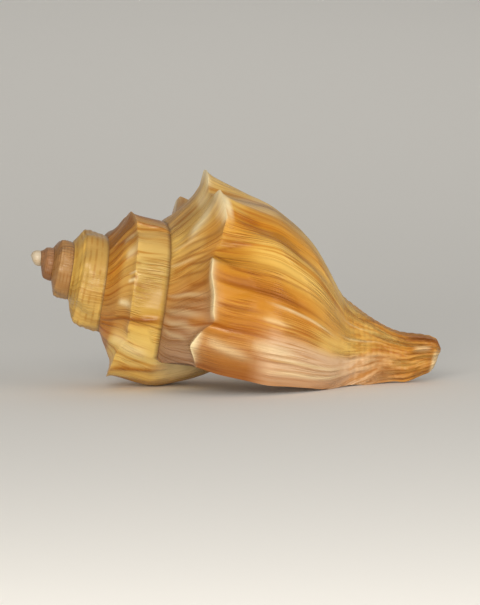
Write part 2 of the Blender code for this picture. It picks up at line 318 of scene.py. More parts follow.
CREAM = np.array(
    [
        (-51.5, 0, 1.97, 2.55, 6, 0, 0.95),
        (-60.5, -8, 0.95, 1.97, 4.5, 0.3, 0.75),
        (-392, 0, 1.5, 2, 5, 0, 0.5),
        (-311, -1, 2.2, 4.3, 5, 0, 0.45),
        # Painted light: cream that lightens the body wall inside the outer lip, where the lip's shade
        # falls
        (-300, 0, 5.3, 9, 24, 0, 0.7),
        (-347, 6, 1.4, 2, 2.6, 0.2, 0.7),
        (-366, 0, 1.75, 2.1, 1.4, 0, 0.7),
        (-372, 0, 1.8, 2.2, 1, 0, 0.6),
        (-314, 0, 1.4, 2.3, 6, 0, 0.35),
        (-411, 0, 1.3, 2, 3, 0, 0.3),
        (-7.5, 4, 0.2, 1.8, 1, 0.2, 0.35),
        (2, 4, 0.2, 1.8, 1.4, 0.2, 0.25),
        (8.5, 4, 0.2, 1.7, 1.3, 0.2, 0.3),
        (15, 4, 0.2, 1.4, 1, 0.15, 0.3),
        (-28.5, 4, 0.1, 1.2, 1, 0.15, 0.35),
        (-43, 3, 0.2, 1.3, 1, 0.15, 0.3),
        # A low ridge, with a painted highlight along it in cream
        (-9, 0.1, 5, 8, 0.5, 0.35, 0.7),
        (-1.8, 0, 4.5, 5.6, 0.9, 0.1, 0.35),
        (10, 2.2, 2.5, 4.2, 1.9, 0.4, 0.4),
        # These two are low ridges on the lower body, with painted highlights along them in cream
        (12.8, 0, 5.2, 9, 0.9, 0.2, 0.55),
        (18, 0, 5.2, 9, 0.9, 0.2, 0.55),
        (9.4, 0, 4.3, 6, 2, 0, 0.4),
        (-76, 0, 1.5, 2, 9, 0, 0.45),
        (-28, 0, 8.8, 11.5, 0.7, 0.2, 0.45),
        (-12, 0, 8.8, 12, 0.8, 0.2, 0.5),
        (-14, 0, 14.4, 15.4, 8, 0.2, 0.4),
    ]
)
MARK_ENDS = 0.2  # share of a mark over which its ends fade

# Cream on the keel of the higher crests, the tips of some knobs and the rim of the canal's end
CREAM_ROWS = (0.035, 0.12)
CREAM_HEIGHT = (1.6, 3.0)  # crests from this height on have a cream keel
CREAM_EARLY = 0.15  # how much of it the older turns have
CREAM_LATE = (-120.0, -95.0)
CREAM_WORN = (-45.0, -41.0, -26.0, -23.0)  # where it is worn off
TIPS = (-130.0, -89.0, -56.0, -49.5, 14.0)
TIP_SPREAD = 3.0
TIP_ROWS = (0.10, 0.25)
RIM_ROWS = (15.6, 16.0)
RIM_FROM = (-50.0, -20.0)
RIM_CREAM = 0.6

# The rosy wall beside the lip, and painted shade along the crease of the suture
ROSE_AGES = (0.0, 8.0)
ROSE_ROWS = (4.1, 5.2, 8.5, 14.5)
SUTURE_ROWS = 0.035
SUTURE_SHADE = 0.7

# How growth lines run: place on the profile, and degrees by which a line there was grown earlier,
# on the turns before and on the last turn
LINES = np.array(
    [
        (0, 1, -9),
        (0.5, 3, -5.5),
        (1, 3, -2),
        (1.5, 1, 0),
        (2, 0, 0),
        (7, 0, 0),
        (8, -2, -2),
        (9, -6, -6),
        (10.5, -15, -15),
        (12, -27, -27),
        (13.5, -31, -31),
        (15, -34, -34),
        (17, -35, -35),
    ]
)
LINES_SOFT = 0.25
LINES_CHANGE = (-300.0, -200.0)
LINES_MAP = 100.0  # millimetres of shell for one unit of the growth lines' map

# Relief of the grown surface, in millimetres: wavelength along the growth, rows across it, height
FOLDS = ((9.0, 7.0, 0.32), (4.0, 5.0, 0.14), (1.6, 4.0, 0.09))
FOLD_SEED = 11
LATTICE = (64, 512)
FOLD_ROWS = (0.0, 0.8)
RAMP_FOLDS = 1.8  # what is added to their strength on the ramp of the last turns
RAMP_FOLD_ROWS = (0.1, 0.5, 1.4, 1.95)
CORD_SPACING = 1.9
CORD_HEIGHT = 0.07
CORD_ROWS = (6.5, 9.0)
RUBBED_AGES = (14.0, 24.0)  # the lip's lower edge, which the shell lies on, is smooth
RUBBED_ROWS = (8.0, 10.0)

# The smooth bulb at the apex, and the turns over which the surface leaves it
NUCLEUS_CENTRE = 2.2
NUCLEUS_RADIUS = 1.8
NUCLEUS_TURN = 75.0
NUCLEUS_DROP = 130.0
NUCLEUS_TURNS = (0.35, 1.5)

# Rows and columns of the mesh
STRIP_ROWS = ((0.0, 1.5, 13), (1.6, 2.4, 9), (2.65, SEAM, 9))  # closest round the shoulder
BODY_ROWS = 103
COVER_COLUMNS = 7
SEAM_BLEND = 0.8  # rows over which the ramp settles onto the turn before
JOIN = 1e-6  # metres within which corners are the same
SMOOTH_ANGLE = 50.0

# The wall, and the hollow that the animal lived in
WALL = 1.5
LIP_EDGE = 0.6  # the wall thins to this at the outer lip
LIP_THINS = (-25.0, 0.0)  # growth from the lip over which it does
CHAMBER_TURN = 660.0
CHAMBER_STEP = 4.0
CHAMBER_TOP = 0.45
CHAMBER_FOOT = (6.5, 10.0)
CHAMBER_OPENS = (-330.0, -200.0)
CHAMBER_GAP = 0.12
CHAMBER_FLARE = 0.06
CHAMBER_POINTS = (40, 28)
PILLAR_TOP = 5.25
PILLAR_FOOT = (6.5, 14.0)
MOUTH_RUNOUT = 26.0

# The canal's hollow: a, radius, and how far it lies from the axis toward the lip
CANAL = np.array(
    [
        (66, 2.4, 9),
        (72, 3.4, 6.6),
        (78, 4.4, 4.6),
        (84, 5.2, 2.8),
        (89, 5, 1.6),
        (94, 4.1, 1.1),
        (99, 3.3, 0.8),
        (104, 2.4, 0.4),
        (110, 1.8, 0),
    ]
)
CANAL_START = 7
CANAL_STEP = 1.0
CANAL_POINTS = 36
CANAL_LIFT = 0.8
CANAL_SLOT = 2.1
CANAL_SLOT_SHARE = 0.8
CANAL_SLOT_DEPTH = 14.0
CANAL_TURN = 42.0  # degrees by which the slot turns under toward the tip
CANAL_TURNS = (80.0, 97.0)
TIP_SWELL = 1.2  # millimetres by which the canal's tip is fuller below
TIP_SWELL_ROWS = (12.0, 14.5, 16.3, 17.0)
TIP_SWELL_SIDE = 66.0

# How the shell lies: degrees, and the solid's origin in the resting axes, in metres from the pole
REST_AZIMUTH = 92.2
REST_SLOPE = 18.0
REST_ORIGIN = (0.0518, -0.0051257, -0.0335089)

# Photograph: its scale and height, and where the camera stands and looks
PIXELS_PER_MM = 4.0
PICTURE_HEIGHT = 605
PICTURE_RIGHT = (0.9957, -0.0886, -0.0128)
VIEW_FROM = (-0.0876, -0.9936, 0.0686)
AIM = (0.0006, 0.0023, 0.0208)
LENS = 300.0
SENSOR = 36.0

# The floor, in metres: flat under the shell and curving up behind it
FLOOR_SIZE = 6.0
FLOOR_FACES = (2, 48)
FLOOR_FLAT = 0.25
FLOOR_CURVE = 0.35

# Soft lights: name, place, where it points, size, power, colour
LIGHTS = (
    ("key", (-0.22, -0.92, 0.22), (0.0, 0.0, 0.02), 0.5, 7.2, "#FFF8EC"),
    ("fill", (0.62, -0.62, 0.12), (0.0, 0.0, 0.02), 0.5, 3.4, "#FFFAF4"),
    ("rim", (0.1, 0.6, 0.5), (0.0, 0.0, 0.03), 0.5, 0.4, "#FFF8EC"),
)
WORLD_COLOUR = "#E9E8E4"
WORLD_STRENGTH = 0.4

# Ground colours from the apex to the lip, on the ramp above the shoulder and on the wall below it:
# growth angle, colour
RAMP_COLOURS = (
    (-1992, "#D2C8B8"),
    (-1720, "#CCBCA2"),
    (-1640, "#A57B58"),
    (-1300, "#9A6C44"),
    (-1000, "#A87C48"),
    (-830, "#C09850"),
    (-730, "#D0A650"),
    (-622, "#C69C48"),
    (-470, "#A06E2C"),
    (-425, "#96662A"),
    (-400, "#C08A38"),
    (-345, "#B98442"),
    (-320, "#C08036"),
    (-262, "#C48A3C"),
    (-130, "#BC8C4A"),
    (-90, "#C69E5C"),
    (-62, "#C8A052"),
    (-44, "#D2A454"),
    (-25, "#CA9244"),
    (-8, "#B8895A"),
    (24, "#AC8668"),
)
WALL_COLOURS = (
    (-1992, "#D2C8B8"),
    (-1720, "#CCBCA2"),
    (-1640, "#A57B58"),
    (-1300, "#96683E"),
    (-982, "#B48C58"),
    (-900, "#C09A54"),
    (-830, "#A27C46"),
    (-740, "#BA944E"),
    # Painted light: lighter where the lower half of the third turn's wall is lit from below
    (-622, "#E2BC68"),
    (-470, "#C9A45A"),
    (-425, "#C89A50"),
    (-380, "#CEAE66"),
    (-356, "#BA903C"),
    (-330, "#D4AC52"),
    (-305, "#E6C87C"),
    (-280, "#D8A850"),
    # Painted light: lighter on the shell's underside behind the lip, which lies in shade
    (-262, "#E0B25C"),
    (-200, "#C88E3C"),
    (-130, "#CC9644"),
    (-108, "#D8AC5E"),
    (-90, "#D2A856"),
    (-78, "#B4874A"),
    (-66, "#B08442"),
    (-56, "#D9AA50"),
    (-46, "#CC8C26"),
    (-34, "#DCAC4A"),
    (-24, "#DCA846"),
    (-14, "#C88628"),
    (-4, "#CA8C32"),
    (6, "#C08646"),
    (15, "#A26C36"),
    (24, "#985E2C"),
)
# Colours that cover the wall's further down: from row, to row, how much, colour
LOWER_COLOURS = (
    (5.0, 7.5, 0.5, "#CE9642"),
    (8.0, 9.5, 0.5, "#D2A24E"),
    (9.5, 12.5, 0.9, "#C08638"),
)
SHOULDER_BLUR = 0.1  # rows to each side over which the ramp's colour meets the wall's

# Pigments under the growth lines, those over them, and how the lines darken and lighten the ground. The
# straw, orange, brown and cream tints also carry a few marks of painted light and shade, and the suture's
# tint is painted shade
STRAW_TINT = "#E9C46C"
ORANGE_TINT = "#B8740C"
ROSE_TINT = "#D8B48E"
BROWN_TINT = "#95540E"
CREAM_TINT = "#F4E0B0"
# The suture's tint is painted shade
SUTURE_SHADE_TINT = "#6A4722"
LINE_DARK = "#D9B46C"
LINE_LIGHT = "#5C4A28"

# Noise drawn out along the growth lines: width and length in millimetres, detail, roughness, shift
BANDS = (6.0, 30.0, 1.0, 0.5, 0.0)
STRIPES = (1.9, 40.0, 1.0, 0.5, 3.1)
FINE_LINES = (0.6, 22.0, 2.0, 0.6, 7.7)
HAIRLINES = (0.3, 12.0, 1.0, 0.5, 1.9)  # the real ones are 0.1 mm apart, too fine for the picture to show
PATCHES = (8.0, 11.0, 1.0, 0.5, 2.2)
BLOTCHES = (3.2, 3.6, 1.0, 0.5, 5.3)
LINES_YOUNG = (-2.2, -1.2)  # turns over which the lines gain their full strength
SPOT_ROWS = (7.5, 10.0)

# The mouth's glaze, by how deep in the hollow it lies
MOUTH_COLOURS = (
    (0.0, "#F2DDBE"),
    (0.05, "#EBC79A"),
    (0.14, "#E3AE78"),
    (0.4, "#DDA878"),
    (1.0, "#C89A74"),
)
CANAL_DEPTHS = (0.2, 0.02)  # how deep the canal counts, from the chamber to the tip
GLAZE_MILKY = "#F6E8D2"
GLAZE_THREAD = "#E0B48C"
GLAZE_CLOUDS = 120.0  # a cloud for each 8 mm
GLAZE_THREADS = 60.0  # round the mouth, a little over a millimetre apart

# Settings that several nodes share
COLOURS = {"data_type": "RGBA"}
MULTIPLIED = {"data_type": "RGBA", "blend_type": "MULTIPLY"}
SCREENED = {"data_type": "RGBA", "blend_type": "SCREEN"}
ADDED = {"operation": "ADD"}
MULTIPLIED_BY = {"operation": "MULTIPLY"}
SMOOTH = {"interpolation_type": "SMOOTHSTEP"}


def ease(x, low, high):
    """0 below low, 1 above high, smooth between."""
    x = np.clip((x - low) / (high - low), 0.0, 1.0)
    return x * x * (3.0 - 2.0 * x)


def profile_at(t):
    """The profile's five values at t, a smooth curve through its points with a corner at the shoulder."""
    t = np.clip(t, 0.0, TIP)
    i = np.minimum(t.astype(int), TIP - 1)
    f = (t - i)[..., None]
    before, here, after, beyond = (PROFILE[np.clip(i + n, 0, TIP)] for n in (-1, 0, 1, 2))
    at_corner = (i == SHOULDER)[..., None]
    to_corner = (i + 1 == SHOULDER)[..., None]
    slope_here = np.where(at_corner, after - here, (after - before) / 2.0)
    slope_after = np.where(to_corner, after - here, (beyond - here) / 2.0)
    cubic = 2.0 * f**3 - 3.0 * f**2
    return (
        (cubic + 1.0) * here
        - cubic * after
        + (f**3 - 2.0 * f**2 + f) * slope_here
        + (f**3 - f**2) * slope_after
    )


def size_at(growth):
    """How large the shell was at a growth angle, against the profile's full size."""
    return np.exp(RATE * (growth - SIDE))


def knob_angles():
    """Growth angles of all the knobs, from the lip to the apex."""
    more = KNOBS[-1] - KNOB_SPACING * np.arange(1, KNOB_COUNT - len(KNOBS))
    return np.concatenate([KNOBS, more])


def between(table, x, soft):
    """Values of a table at x, straight from point to point with slightly rounded corners."""
    near = [
        np.stack([np.interp(x + off, table[:, 0], column) for column in table[:, 1:].T])
        for off in (-soft, 0.0, soft)
    ]
    return (near[0] + 2.0 * near[1] + near[2]) / 4.0


def crest(growth, t, age):
    """Height of knobs and crest, in millimetres at full size, and the crest's drift from the apex."""
    away = np.abs(growth[..., None] - knob_angles()).min(axis=-1)
    height = YOUNG_KNOB * np.cos(np.pi * away / KNOB_SPACING) ** 2 * age
    height = height * np.exp(-(((t - YOUNG_KNOB_ROWS[0]) / YOUNG_KNOB_ROWS[1]) ** 2))
    height = height + np.interp(t, range(len(YOUNG_BULGE)), YOUNG_BULGE) * ease(age, 0.0, YOUNG_SET)
    last_height, drift = between(CREST, growth, CREST_SOFT)
    above = np.clip(t / SHOULDER, 0.0, 1.0) ** KNOB_RISE
    below = np.clip(1.0 - (t - SHOULDER) / KNOB_FOOT, 0.0, 1.0) ** KNOB_FADE
    across = np.where(t < SHOULDER, above, below)
    climb = np.clip(t / SHOULDER, 0.0, 1.0)
    climb = CREST_FOOT * climb ** CREST_RISE[0] + (1.0 - CREST_FOOT) * climb ** CREST_RISE[1]
    sharp = np.where(t < SHOULDER, climb, below)
    keel = KEEL_HEIGHT * np.clip(last_height / KEEL_FULL, 0.0, 1.0) * beside(t, KEEL_ROWS)
    last = ease(growth, *CREST_FROM)
    return height + (last_height * sharp + keel - height) * last, drift * across * last


def beside(t, rows):
    """1 on the shoulder, fading away from it over rows on the ramp and on the wall."""
    return np.exp(-np.abs(t - SHOULDER) / np.where(t < SHOULDER, *rows))


def lines(table, growth, t):
    """For each line of a table: how near a place lies, 1 on the line, with its height and strength."""
    angle, slant, first, last, width, height, tone = table[:, :, None].transpose(1, 0, 2)
    growth, t = growth.ravel()[None], t.ravel()[None]
    off = (line_age(growth, t) - angle - slant * (t - SHOULDER)) / width
    soft = MARK_ENDS * (last - first)
    window = ease(t, first - soft, first + soft) * (1.0 - ease(t, last - 2.0 * soft, last + soft))
    return np.exp(-(off**2)) * window, height, tone


def line_age(growth, t):
    """The growth angle at the shoulder of the growth line that runs through a place."""
    before, last = between(LINES, t, LINES_SOFT)
    return growth - before - (last - before) * ease(growth, *LINES_CHANGE)


def arc(growth):
    """Millimetres grown along the shoulder up to this angle."""
    return PROFILE[SEAM, 1] / (RATE * 180.0 / np.pi) * size_at(growth)


def ripple(x, y, seed):
    """Smooth noise between -1 and 1, the same on each run."""
    rows, columns = LATTICE
    lattice = np.random.default_rng(seed).uniform(-1.0, 1.0, LATTICE)
    column, row = np.floor(x).astype(int), np.floor(y).astype(int)
    fx, fy = ease(x - column, 0.0, 1.0), ease(y - row, 0.0, 1.0)
    left, right = column % columns, (column + 1) % columns
    low, high = (
        lattice[(row + n) % rows, left] * (1.0 - fx) + lattice[(row + n) % rows, right] * fx
        for n in (0, 1)
    )
    return low * (1.0 - fy) + high * fy


def relief(growth, t):
    """Growth folds from suture to canal, the marks' own ridges, and cords on canal and young turns."""
    age = line_age(growth, t)
    folds = sum(
        height * ripple(arc(age) / length, t / rows, FOLD_SEED + n)
        for n, (length, rows, height) in enumerate(FOLDS)
    )
    on_ramp = ease(t, *RAMP_FOLD_ROWS[:2]) * (1.0 - ease(t, *RAMP_FOLD_ROWS[2:]))
    folds = folds * (1.0 + RAMP_FOLDS * (on_ramp * ease(growth, *CREST_FROM))) * ease(t, *FOLD_ROWS)
    ridges = 0.0
    for table in (STRAW, ORANGE, BROWN, CREAM):
        near, height, _ = lines(table, growth, t)
        ridges = ridges + (near * height).sum(axis=0).reshape(growth.shape)
    young = YOUNG_CORD * np.cos(2.0 * np.pi * t / YOUNG_CORD_ROWS) * (1.0 - ease(growth, *CREST_FROM))
    young = young * size_at(growth) ** 0.5
    cords = CORD_HEIGHT * np.cos(2.0 * np.pi * profile_at(t)[..., 0] / CORD_SPACING) * ease(t, *CORD_ROWS)
    rubbed = 1.0 - ease(growth, *RUBBED_AGES) * ease(t, *RUBBED_ROWS)
    return (folds + ridges + cords + young) * (1.0 - ease(t, TIP - 1.0, TIP)) * rubbed


def girth(growth, t):
    """How wide the shell is against strictly similar growth."""
    size = size_at(growth)
    depth = SLIM_RAMP + (SLIM_BODY - SLIM_RAMP) * ease(t, SEAM - 0.5, SEAM + 1.5)
    slim = 1.0 - depth * np.exp(-(((growth - SLIM_ANGLE) / SLIM_SPREAD) ** 2))
    tuck = 1.0 - TUCK * ease(growth, *TUCK_ANGLES) * np.exp(-(((t - SEAM) / TUCK_ROWS) ** 2))
    swell = 1.0 + SPIRE_SWELL * (1.0 - ease(size, *SPIRE_SIZES))
    return slim * tuck * swell


def surface(growth, t, inset=0.0):
    """Points of the outside, moved in by inset: (along the axis, toward azimuth 0, toward azimuth 90)."""
    growth, t = np.broadcast_arrays(np.asarray(growth, float), np.asarray(t, float))
    along, radius, share, lead, lift = np.moveaxis(profile_at(t), -1, 0)
    step = 0.05
    slope = profile_at(t + step) - profile_at(t - step)
    length = np.hypot(slope[..., 0], slope[..., 1])
    along = along + inset * slope[..., 1] / length
    radius = radius - inset * slope[..., 0] / length
    full = size_at(growth)
    early_share = 1.0 - ease(t, *FORM_ROWS)
    share = early_share + (share - early_share) * ease(growth, *FORM_SET)
    size = full**share
    age = ease(full, *KNOB_BIRTH) * (KNOB_YOUNG + (1.0 - KNOB_YOUNG) * ease(full, *KNOB_AGES))
    knobs, drift = crest(growth, t, age)
    rough = 0.0 if inset else relief(growth, t) * full**0.5 * ease(full, *KNOB_BIRTH)
    radius = (radius * girth(growth, t) + knobs) * size + rough
    along = (along - KNOB_LEAN * knobs + drift) * size
    azimuth = np.radians(growth + lead)
    full_tip = ease(t, *TIP_SWELL_ROWS[:2]) * (1.0 - ease(t, *TIP_SWELL_ROWS[2:]))
    below = np.maximum(0.0, np.cos(azimuth - np.radians(TIP_SWELL_SIDE)))
    radius = radius + TIP_SWELL * full_tip * below**2
    points = np.stack([along, radius * np.cos(azimuth), radius * np.sin(azimuth) - lift], -1)
    return rounded_apex(points, growth, t, azimuth)


def rounded_apex(points, growth, t, azimuth):
    """The first turn drawn onto the small bulb of the nucleus."""
    turns = (growth - LIP) / 360.0 + TURNS
    dip = np.radians(np.clip(NUCLEUS_TURN * (turns + t / SEAM), 0.0, NUCLEUS_DROP))
    across = NUCLEUS_RADIUS * np.sin(dip)
    along = NUCLEUS_CENTRE - NUCLEUS_RADIUS * np.cos(dip)
    bulb = np.stack([along, across * np.cos(azimuth), across * np.sin(azimuth)], -1)
    near = 1.0 - ease(turns, *NUCLEUS_TURNS)
    return points + (bulb - points) * near[..., None]


def rest_axes():
    """The resting shell's X, Y and Z, each as (along the axis, toward azimuth 0, toward azimuth 90)."""
    slope = np.radians(REST_SLOPE)
    side = np.radians(REST_AZIMUTH)
    down = np.array([np.sin(slope), np.cos(slope) * np.cos(side), np.cos(slope) * np.sin(side)])
    level = np.array([1.0, 0.0, 0.0]) - down[0] * down
    level /= np.linalg.norm(level)
    return np.array([level, np.cross(-down, level), -down])


def at_rest(points):
    """Points in growth axes and millimetres turned into the resting frame, in metres."""
    return np.asarray(points) @ rest_axes().T / 1000.0 - REST_ORIGIN


def deselect():
    for thing in bpy.context.selected_objects:
        thing.select_set(False)


def grid_sheet(name, across, down, points):
    """A plane primitive of across by down faces, whose corners are moved to points[down, across]."""
    deselect()
    bpy.ops.mesh.primitive_grid_add(x_subdivisions=across, y_subdivisions=down, size=2.0, calc_uvs=True)
    sheet = bpy.context.object
    sheet.name = name
    count = len(sheet.data.vertices)
    flat = np.empty(count * 3, np.float32)
    sheet.data.vertices.foreach_get("co", flat)
    flat = flat.reshape(-1, 3)
    column = np.rint((flat[:, 0] + 1.0) / 2.0 * across).astype(int)
    row = np.rint((flat[:, 1] + 1.0) / 2.0 * down).astype(int)
    sheet.data.vertices.foreach_set("co", points[row, column].astype(np.float32).ravel())
    return sheet, column, row


def ribbon_rows():
    """Places on the profile of the rows in the spire's strip."""
    return np.concatenate([np.linspace(*rows) for rows in STRIP_ROWS])


def columns_grown(turns):
    """Growth angles of the mesh's columns up to the lip, fine and then coarse in each spell."""
    (fine, fine_steps), (coarse, coarse_steps) = COLUMNS
    whole = fine + coarse
    near_lip = np.linspace(0.0, fine, fine_steps + 1)
    spell = np.append(near_lip, np.linspace(fine, whole, coarse_steps + 1)[1:-1])
    back = (spell + whole * np.arange(turns)[:, None]).ravel()
    return LIP - np.append(back, whole * turns)[::-1]


def spire_points():
    """The strip that coils from the apex to the lip, with its upper edge laid on the turn before."""
    spell = sum(steps for _, steps in COLUMNS)
    growth = columns_grown(int(round(TURNS * 360.0 / (360.0 - LEAD))))
    rows = ribbon_rows()
    points = surface(growth[None, :], rows[:, None])
    joined = np.arange(len(growth)) - spell
    seam = points[-1, np.maximum(joined, 0)]
    seam[joined < 0] = (NUCLEUS_CENTRE - NUCLEUS_RADIUS, 0.0, 0.0)
    pull = np.clip(1.0 - rows / SEAM_BLEND, 0.0, 1.0)[:, None, None] ** 2
    return growth, rows, points + (seam - points[0]) * pull


def body_points():
    """Corners of the last turn below the seam, down to the tip of the canal."""
    growth = columns_grown(1)
    rows = np.linspace(SEAM, TIP, BODY_ROWS)
    return growth, rows, surface(growth[None, :], rows[:, None])


def mark_growth(sheet, growth, rows, column, row):
    """Writes where each corner was grown: growth in turns, and place on the profile from 0 to 1."""
    layer = sheet.data.uv_layers.active
    layer.name = "grown"
    corner = np.empty(len(sheet.data.loops), np.int32)
    sheet.data.loops.foreach_get("vertex_index", corner)
    uv = np.stack([growth[column][corner] / 360.0, rows[row][corner] / TIP], -1)
    layer.data.foreach_set("uv", uv.astype(np.float32).ravel())


def pigment(growth, t):
    """How strongly each pigment covers a place, with the painted light and shade among the marks and
    along the sutures, for those under the growth lines and those over them.
    """
    straw, orange, brown, cream = (marked(table, growth, t) for table in (STRAW, ORANGE, BROWN, CREAM))
    height, _ = between(CREST, growth, CREST_SOFT)
    keel = ease(height, *CREAM_HEIGHT) * beside(t, CREAM_ROWS)
    keel = keel * (CREAM_EARLY + (1.0 - CREAM_EARLY) * ease(growth, *CREAM_LATE))
    keel = keel * (1.0 - ease(growth, *CREAM_WORN[:2]) * (1.0 - ease(growth, *CREAM_WORN[2:])))
    tips = sum(np.exp(-(((growth - tip) / TIP_SPREAD) ** 2)) for tip in TIPS)
    tips = tips * np.exp(-(((t - SHOULDER) / np.where(t < SHOULDER, *TIP_ROWS)) ** 2))
    rim = RIM_CREAM * ease(t, *RIM_ROWS) * ease(growth, *RIM_FROM)
    cream = np.max([cream, keel, tips, rim], axis=0)
    rose = ease(t, *ROSE_ROWS[:2]) * (1.0 - ease(t, *ROSE_ROWS[2:]))
    rose = rose * ease(line_age(growth, t), *ROSE_AGES)
    # dark: painted shade in the crease of each suture, where one turn meets the next
    overgrown = growth < LIP - 360.0 + LEAD
    at_seam = overgrown * np.exp(-np.abs(t - SEAM) / SUTURE_ROWS)
    dark = SUTURE_SHADE * np.maximum(np.exp(-t / SUTURE_ROWS), at_seam)
    return {"under_lines": (straw, orange, rose), "over_lines": (brown, cream, dark)}


def marked(table, growth, t):
    """How strongly a list's marks cover a place. Where they cross, they add up as coats of paint do."""
    near, _, strength = lines(table, growth, t)
    return 1.0 - np.prod(1.0 - near * strength, axis=0)


def write_pigment(shell):
    """Adds the pigment, painted light and shade included, and the growth lines' own map at every corner
    of the finished mesh.
    """
    mesh = shell.data
    count = len(mesh.loops)
    uv = np.empty(count * 2, np.float32)
    mesh.uv_layers["grown"].data.foreach_get("uv", uv)
    growth, t = uv.reshape(-1, 2).T.astype(float) * [[360.0], [TIP]]
    for name, tones in pigment(growth, t).items():
        layer = mesh.color_attributes.new(name, "FLOAT_COLOR", "CORNER")
        solid = np.clip(np.stack([*tones, np.ones(count)], -1), 0.0, 1.0)
        layer.data.foreach_set("color", solid.astype(np.float32).ravel())
    across = arc(line_age(growth, t))
    down = profile_at(t)[..., 0] * size_at(growth) ** (growth < LIP - 360.0)
    spots = np.stack([across, down], -1) / LINES_MAP
    mesh.uv_layers.new(name="lines").data.foreach_set("uv", spots.astype(np.float32).ravel())


def grown_sheet(name, growth, rows, points):
    sheet, column, row = grid_sheet(name, len(growth) - 1, len(rows) - 1, at_rest(points))
    mark_growth(sheet, growth, rows, column, row)
    return sheet


def in_edit(thing, *steps):
    """Runs edit-mode operators on all of one object."""
    deselect()
    thing.select_set(True)
    bpy.context.view_layer.objects.active = thing
    bpy.ops.object.mode_set(mode="EDIT")
    bpy.ops.mesh.select_all(action="SELECT")
    for step, settings in steps:
        step(**settings)
    bpy.ops.object.mode_set(mode="OBJECT")


def close_up(thing):
    """Joins the sheets' edges, fills what stays open and turns all faces outward."""
    in_edit(
        thing,
        (bpy.ops.mesh.remove_doubles, {"threshold": JOIN}),
        (bpy.ops.mesh.fill_holes, {"sides": 0}),
        (bpy.ops.mesh.normals_make_consistent, {"inside": False}),
    )


def whole_form():
    """The shell as if solid: the spire's strip, the last turn's body and a sheet across the mouth."""
    growth, rows, spire = spire_points()
    strip = grown_sheet("whelk", growth, rows, spire)
    growth, rows, body = body_points()
    last_turn = grown_sheet("last_turn", growth, rows, body)
    across = np.linspace(0.0, 1.0, COVER_COLUMNS)[None, :, None]
    mouth = body[:, -1:] * (1.0 - across) + body[:, :1] * across
    cover = grown_sheet("mouth_cover", np.full(COVER_COLUMNS, LIP), rows, mouth)
    deselect()
    for sheet in (last_turn, cover, strip):
        sheet.select_set(True)
    bpy.context.view_layer.objects.active = strip
    bpy.ops.object.join()
    close_up(strip)
    return strip


def chamber_loop(growth):
    """One closed cross-section of the hollow that the animal lived in."""
    opened = ease(growth - LIP, *CHAMBER_OPENS)
    outer_foot, inner_foot = (
        ends[0] + (ends[1] - ends[0]) * opened for ends in (CHAMBER_FOOT, PILLAR_FOOT)
    )
    wall = WALL + (LIP_EDGE - WALL) * ease(growth - LIP, *LIP_THINS)
    outer = surface(growth, np.linspace(CHAMBER_TOP, outer_foot, CHAMBER_POINTS[0]), wall)
    inner_rows = np.linspace(inner_foot, PILLAR_TOP, CHAMBER_POINTS[1])
    inner = surface(growth - 360.0 + LEAD, inner_rows, -CHAMBER_GAP)
    inner[:, 1:] *= 1.0 + CHAMBER_FLARE * ease(growth - LIP, 0.0, MOUTH_RUNOUT)
    return np.concatenate([outer, inner])


def canal_loop(along):
    """A keyhole: the canal's round hollow with its slot, at one place on the axis."""
    radius, offset = (np.interp(along, CANAL[:, 0], CANAL[:, value]) for value in (1, 2))
    rows = PROFILE[CANAL_START:]
    lift, lead = (np.interp(along, rows[:, 0], rows[:, value]) for value in (4, 3))
    slot = np.radians(LIP + lead + LEAD / 2.0 + CANAL_TURN * ease(along, *CANAL_TURNS))
    slot_half = min(CANAL_SLOT, CANAL_SLOT_SHARE * radius)
    half = np.arcsin(slot_half / radius)
    around = np.linspace(half, 2.0 * np.pi - half, CANAL_POINTS)
    ring = np.stack([np.cos(around), np.sin(around)], -1) * radius
    slot_end = np.array([(CANAL_SLOT_DEPTH, -slot_half), (CANAL_SLOT_DEPTH, slot_half)])
    flat = np.concatenate([ring, slot_end])
    flat = flat @ np.array([(np.cos(slot), np.sin(slot)), (-np.sin(slot), np.cos(slot))])
    return np.column_stack([np.full(len(flat), along), flat + (offset, -CANAL_LIFT * lift)])


def hollow(name, loops, depths):
    """A closed body through a row of loops, to be cut out of the shell, mapped by how deep they lie."""
    loops = np.array(loops)
    ring = np.concatenate([loops, loops[:, :1]], axis=1)
    tube, column, row = grid_sheet(name, ring.shape[1] - 1, len(ring) - 1, at_rest(ring))
    deep = TIP * np.linspace(*depths, len(ring))
    mark_growth(tube, np.linspace(0.0, 360.0, ring.shape[1]), deep, column, row)
    close_up(tube)
    return tube


def carve(shell, cutter):
    """Cuts a closed form out of the shell and leaves its surface in the second material."""
    for material in shell.data.materials:
        cutter.data.materials.append(material)
    cutter.data.polygons.foreach_set("material_index", np.ones(len(cutter.data.polygons), np.int32))
    cut = shell.modifiers.new("cut", "BOOLEAN")
    cut.operation = "DIFFERENCE"
    cut.solver = "MANIFOLD"
    cut.object = cutter
    deselect()
    shell.select_set(True)
    bpy.context.view_layer.objects.active = shell
    bpy.ops.object.modifier_apply(modifier=cut.name)
    bpy.data.objects.remove(cutter, do_unlink=True)


def linear(colour):
    """An sRGB hex colour as the linear values that a shader takes."""
    channels = [int(colour[i : i + 2], 16) / 255.0 for i in (1, 3, 5)]
    return (*(c / 12.92 if c <= 0.04045 else ((c + 0.055) / 1.055) ** 2.4 for c in channels), 1.0)


def start_material(name):
    material = bpy.data.materials.new(name)
    material.use_nodes = True
    tree = material.node_tree
    return material, tree, tree.nodes["Principled BSDF"]


